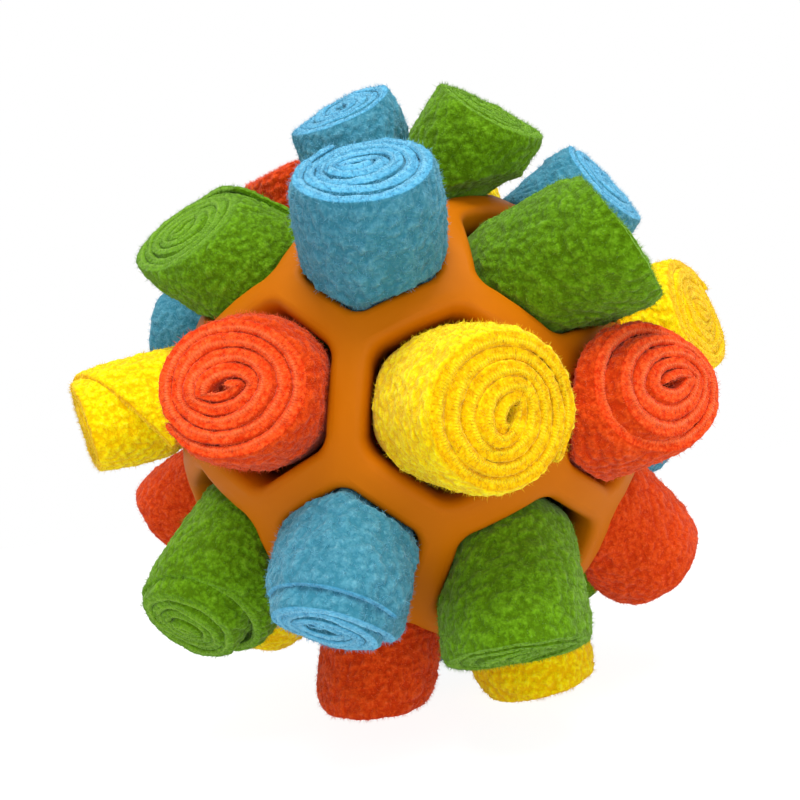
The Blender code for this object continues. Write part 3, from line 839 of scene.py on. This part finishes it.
BACK_ROLLS = (
    ("yellow", 140, 66, 13.7, 14.0, 4.0, 6.0, 12, 6.0, 1.0, 5.0),
    ("green", -154, 43, 13.3, 14.4, 4.0, 10.0, 14, 9.0, 0.8, 8.0),
    ("blue", 161, 31, 13.1, 16.0, 3.0, 5.0, 14, 4.0, 2.0, 2.0),
    ("red", 118, 27, 13.4, 13.0, 4.5, 8.0, 18, 8.0, 0.8, 6.0),
    ("yellow", -134, 10, 13.1, 16.4, 2.5, 1.0, 8, 2.0, 0.8, 9.0),
    ("red", -171, 4, 13.2, 13.6, 4.5, 7.0, 20, 7.0, 1.0, 3.0),
    ("yellow", 148, -4, 13.7, 14.0, 5.0, 4.0, 12, 3.0, 2.6, 10.0),
    ("blue", 110, -10, 13.0, 14.0, 2.0, 3.0, 12, 4.0, 0.8, 5.0),
    ("green", -142, -27, 13.4, 14.0, 4.0, 5.0, 24, 5.0, 0.8, 0.0),
    ("blue", 175, -31, 13.1, 15.2, 3.5, 10.0, 16, 9.0, 1.2, 7.0),
    ("blue", -164, -66, 12.6, 10.4, 5.0, 12.0, 16, 12.0, 0.0, 4.0),
)

# In this order the rolls of each colour get the same numbers as in the CAD
ROLLS = [dict(zip(NAMES, values)) for values in SEEN_ROLLS + BACK_ROLLS + PAIR_ROLLS]
print("rolls seen, on the back and in the pair:", len(SEEN_ROLLS), len(BACK_ROLLS), len(PAIR_ROLLS))

# %% [markdown]
# ## How some rolls were seen to be wound
# On the ones that look at the camera, the slit at the core shows: the hour it points to, how far it is
# pulled out and the core's place off the middle. On others the outer wrap is set back from the cut end, by
# how far, from what share of the strip and over how much of it.

# %% Finishing touches
FINISHING = {
    "blue_1": {"slit": 2.6, "slit_mm": 0.9, "core": (-1.4, 1.4)},
    "red_1": {"slit": 2.6, "slit_mm": 0.6, "core": (-0.6, -0.6)},
    "yellow_1": {"slit": 1.0, "slit_mm": 0.6, "core": (0.9, -0.3)},
    "blue_2": {"out": 1.0, "back": 4.0, "back_from": 0.62},
    "red_2": {"slit_mm": 0.3, "core": (1.6, 1.8), "back": 2.5, "back_from": 0.66},
    "green_4": {"out": 1.5, "back": 3.5, "back_from": 0.62},
    "yellow_3": {"back": 17.0, "back_from": 0.74, "back_over": 0.22, "end": 6.6},
}
print("rolls with touches of their own:", len(FINISHING))

# %% [markdown]
# ## Pills, ragged threads and fuzz
# Washed fleece is never smooth: its pile mats into round pills, close together, and a cut edge frays. Cells
# of a Voronoi pattern make the pills, and noise the rest. They are geometry, so they show at the outline.

# %% Pile relief
PILL_MM = 1.6
PILL_RELIEF = 0.25 * MM
PILL_TOP = 0.75
PILL_REACH = 0.9
PILL_GRAIN = 0.6
PILL_GRAIN_FINER = 1.7
PILL_ON_EDGE = 0.3
LUMP_MM = 5.0
LUMP_RELIEF = 0.35 * MM
EDGE_GRAIN_MM = 0.7
EDGE_RELIEF = 0.11 * MM


def pile_relief(points, on_edge, seed):
    """A pill's height at each point, from 0 in a pit to 1 on top, and how far the pile stands out there."""
    pills = np.empty(len(points))
    relief = np.empty(len(points))
    shift = Vector((seed * 7.3, seed * 3.1, seed * 5.7))
    for k, point in enumerate(points):
        place = Vector(point) / MM
        pills[k] = PILL_TOP - (noise.voronoi(place / PILL_MM + shift)[0][0] / PILL_REACH) ** 2
        pills[k] += PILL_GRAIN * noise.noise(place / PILL_MM * PILL_GRAIN_FINER - shift)
        ragged = EDGE_RELIEF * noise.noise(place / EDGE_GRAIN_MM + shift) if on_edge[k] else 0
        relief[k] = LUMP_RELIEF * noise.noise(place / LUMP_MM + shift) + ragged
    pills = np.clip(pills, 0, 1)
    return pills, relief + PILL_RELIEF * np.where(on_edge, PILL_ON_EDGE, 1) * (2 * pills - 1)


print("pills every", PILL_MM, "mm")

# %% Fuzz
FIBRE_RADIUS = 0.045 * MM  # several times the real one's, which would be lost between two pixels
FIBRE_LENGTH = (0.4 * MM, 1.2 * MM)
FIBRE_LEAN = 0.9


def fuzz(roots, normals):
    """The loose fibres' points: each stands on its root and leans at random off the cloth's normal."""
    count = len(roots)
    stray = chance.normal(size=(count, 3))
    stray /= np.linalg.norm(stray, axis=1)[:, None]
    way = normals + FIBRE_LEAN * stray
    way /= np.linalg.norm(way, axis=1)[:, None]
    first = np.cross(way, stray[:, ::-1])
    first /= np.linalg.norm(first, axis=1)[:, None]
    second = np.cross(way, first)
    tall = chance.uniform(*FIBRE_LENGTH, size=count)
    x, y, z = FIBRE_LOCAL.T[:, :, None]
    return (roots[FIBRE] + FIBRE_RADIUS * (first[FIBRE] * x + second[FIBRE] * y)
            + way[FIBRE] * z * tall[FIBRE, None])


print("fibres from", FIBRE_LENGTH[0] / MM, "to", FIBRE_LENGTH[1] / MM, "mm long")

# %% [markdown]
# ## Making a roll
# The strip is wound, turned to its opening, and given its relief along its own normals. The fibres are then
# rooted in it, and nothing reaches below the floor that the feet stand on. Four attributes tell the material
# where the pills, the cut edge and its ridge are, and how far along the strip each point lies.

# %% Roll making
FLOOR = 0.03 * MM
HIDDEN_PILL = 0.55
EDGE_HEIGHT_BY_BAND = 0.6
EDGE_HEIGHT_BY_PILL = 0.35
# The loose fibres get a high pill, so they take the tips' painted light
FIBRE_PILL = 0.9
FIBRE_EDGE = 0.3


def make_roll(name, roll, opening, seed, parting=None):
    """One wound roll as a piece, and how long its strip is."""
    strip = loose_strip if "back" in roll else tight_strip
    points, length = wind(strip, opening, roll, seed, parting)
    points = points @ opening.turn() + np.array(BALL_CENTRE)
    mesh = strip.mesh.copy()
    mesh.name = name
    unused = np.zeros((len(FIBRE), 3))
    mesh.vertices.foreach_set("co", np.concatenate((points, unused)).ravel())
    mesh.update()
    normals = points_of(mesh, "normal")[:len(points)]
    pills = np.full(len(points), HIDDEN_PILL)
    pills[strip.seen], relief = pile_relief(points[strip.seen], strip.on_edge[strip.seen], seed)
    # On the cut edge the band's height goes into the pill attribute, so the creases between the layers get
    # the pits' painted shade and the band's crown the tips' painted light
    edge_height = EDGE_HEIGHT_BY_BAND * strip.edge + EDGE_HEIGHT_BY_PILL * pills
    pills = np.where(strip.on_edge, edge_height, pills)
    points[strip.seen] += normals[strip.seen] * relief[:, None]
    points = np.concatenate((points, fuzz(points[strip.roots], normals[strip.roots])))
    points[:, 2] = np.maximum(points[:, 2], FLOOR)
    mesh.vertices.foreach_set("co", points.ravel())
    mesh.update()
    along = strip.share * length / MM / LOOP_MM * 2 * math.pi
    for attribute, values, on_fibres in (("pill", pills, FIBRE_PILL), ("cut_edge", strip.edge, FIBRE_EDGE),
                                         ("ridge", strip.ridge, 0.0), ("along", along, 0.0)):
        values = np.concatenate((values, np.full(len(FIBRE), on_fibres))).astype(np.float32)
        mesh.attributes.new(attribute, "FLOAT", "POINT").data.foreach_set("value", values)
    return new_piece(name, mesh, cloth[roll["colour"]]), length


counts = dict.fromkeys(FLEECE_COLOURS, 0)
for seed, roll in enumerate(ROLLS):
    counts[roll["colour"]] += 1
    node = f"{roll['colour']}_fleece_roll_{counts[roll['colour']]}"
    opening = max(openings, key=lambda one: one.axis.dot(direction(roll["round"], roll["rise"])))
    roll.update(FINISHING.get(node.replace("_fleece_roll", ""), {}))
    parting = None
    if (roll["round"], roll["rise"]) == PAIR_OPENING:
        parting = clock(PAIR_HOUR) * (1 if roll["colour"] == "green" else -1)
    piece, length = make_roll(node + "_wound", roll, opening, seed, parting)
    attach(piece, node)
    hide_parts(node)
print("rolls:", sum(counts.values()), "each of", len(piece.data.polygons), "faces")

# %% [markdown]
# ## Stage
# The photograph is a product shot: soft light from above the camera, little shadow and a white ground. One
# large lamp gives the form, a weak one lifts the underside, and the world fills the rest. What the camera
# sees of the world is pure white, by Light Path, and the paper on the floor glows towards it.

# %% Lamps
def area_light(name, place, size, power):
    """A soft square lamp that looks at the ball."""
    lamp = bpy.data.lights.new(name, "AREA")
    lamp.size = size
    lamp.energy = power
    made = bpy.data.objects.new(name, lamp)
    made.location = BALL_CENTRE + Vector(place)
    made.rotation_mode = "QUATERNION"
    made.rotation_quaternion = Vector(place).to_track_quat("Z", "Y")
    bpy.context.scene.collection.objects.link(made)


area_light("key", place=(0.05, -0.45, 0.87), size=0.5, power=9.5)
area_light("fill", place=(0.3, -0.85, 0.0), size=0.6, power=3.2)
print("lamps:", ", ".join(light.name for light in bpy.data.lights))

# %% World
WORLD_LIGHT = 0.5
WORLD_SEEN = 1.0
world = bpy.data.worlds.new("studio")
bpy.context.scene.world = world
world.use_nodes = True
world.node_tree.nodes.clear()
paths = add(world.node_tree, "ShaderNodeLightPath")
seen = add(world.node_tree, "ShaderNodeMath", {0: paths.outputs["Is Camera Ray"],
                                               1: paths.outputs["Is Glossy Ray"]}, operation="MAXIMUM")
level = add(world.node_tree, "ShaderNodeMapRange", {"Value": seen.outputs["Value"],
                                                    "To Min": WORLD_LIGHT, "To Max": WORLD_SEEN})
sky = add(world.node_tree, "ShaderNodeBackground", {"Color": linear("#FFFFFF"),
                                                    "Strength": level.outputs["Result"]})
add(world.node_tree, "ShaderNodeOutputWorld", {"Surface": sky.outputs["Background"]})
bpy.context.scene.view_settings.view_transform = "Standard"
print("world:", world.name, "at", WORLD_LIGHT)

# %% Floor
FLOOR_DROP = 0.05 * MM
FLOOR_HALF_SIZE = 3
GLOW = 1.22
GLOW_SHARE = 0.35
GLOW_SHARE_SEEN = 0.4  # more of it, in what the camera sees
floor_mesh = bpy.data.meshes.new("floor")
bm = bmesh.new()
bmesh.ops.create_grid(bm, x_segments=1, y_segments=1, size=FLOOR_HALF_SIZE)
bm.to_mesh(floor_mesh)
bm.free()
floor_paint, tree = new_material("white_paper")
paths = add(tree, "ShaderNodeLightPath")
paper = add(tree, "ShaderNodeBsdfDiffuse", {"Color": linear("#F7F7F7")})
glow = add(tree, "ShaderNodeEmission", {"Color": linear("#FFFFFF"), "Strength": GLOW})
share = add(tree, "ShaderNodeMath", {0: paths.outputs["Is Camera Ray"], 1: GLOW_SHARE_SEEN,
                                     2: GLOW_SHARE}, operation="MULTIPLY_ADD")
both = add(tree, "ShaderNodeMixShader", {"Fac": share.outputs["Value"], 1: paper.outputs["BSDF"],
                                         2: glow.outputs["Emission"]})
add(tree, "ShaderNodeOutputMaterial", {"Surface": both.outputs["Shader"]})
floor = new_piece("floor", floor_mesh, floor_paint)
floor.location.z = -FLOOR_DROP
print("floor:", floor_paint.name)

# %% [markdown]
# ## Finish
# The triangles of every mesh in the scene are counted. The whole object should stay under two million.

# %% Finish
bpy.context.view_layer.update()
meshes = [one.data for one in bpy.data.objects if one.type == "MESH"]
print("triangles:", sum(len(face.vertices) - 2 for mesh in meshes for face in mesh.polygons))
